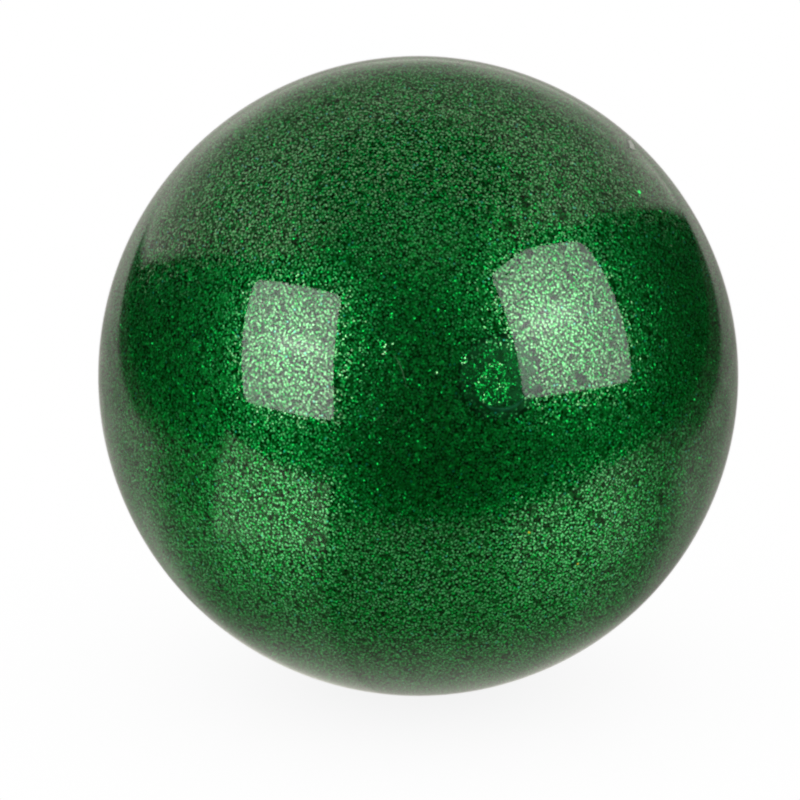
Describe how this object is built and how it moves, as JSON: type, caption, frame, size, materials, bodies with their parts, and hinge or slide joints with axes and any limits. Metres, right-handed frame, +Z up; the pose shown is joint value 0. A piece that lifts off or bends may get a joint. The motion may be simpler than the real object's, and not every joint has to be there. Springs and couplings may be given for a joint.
{
  "type": "cue ball",
  "caption": "Regulation-size pool cue ball of clear cast resin over a layer of green glitter, with a sealed pouring gate.",
  "frame": {"origin": "centre of the ball", "axes": "+Z up; -Y is the front, the side seen in the reference view; +X to the right of it"},
  "size_m": [0.0572, 0.0572, 0.0572],
  "materials": {
    "dark_resin": "dark green cast polyester resin",
    "glitter_resin": "clear green resin packed with green metallised glitter",
    "clear_resin": "clear cast resin, polished to a high gloss",
    "green_film": "green lacquered aluminium on polyester film, cut to hexagons",
    "gold_film": "gold lacquered aluminium on polyester film, cut to hexagons"
  },
  "bodies": {
    "root": {"core": "dark_resin", "glitter_layer": "glitter_resin", "clear_shell": "clear_resin", "gate_plug": "glitter_resin", "gate_seal": "clear_resin", "green_flakes": "green_film", "gold_flakes": "gold_film"}
  },
  "joints": []
}
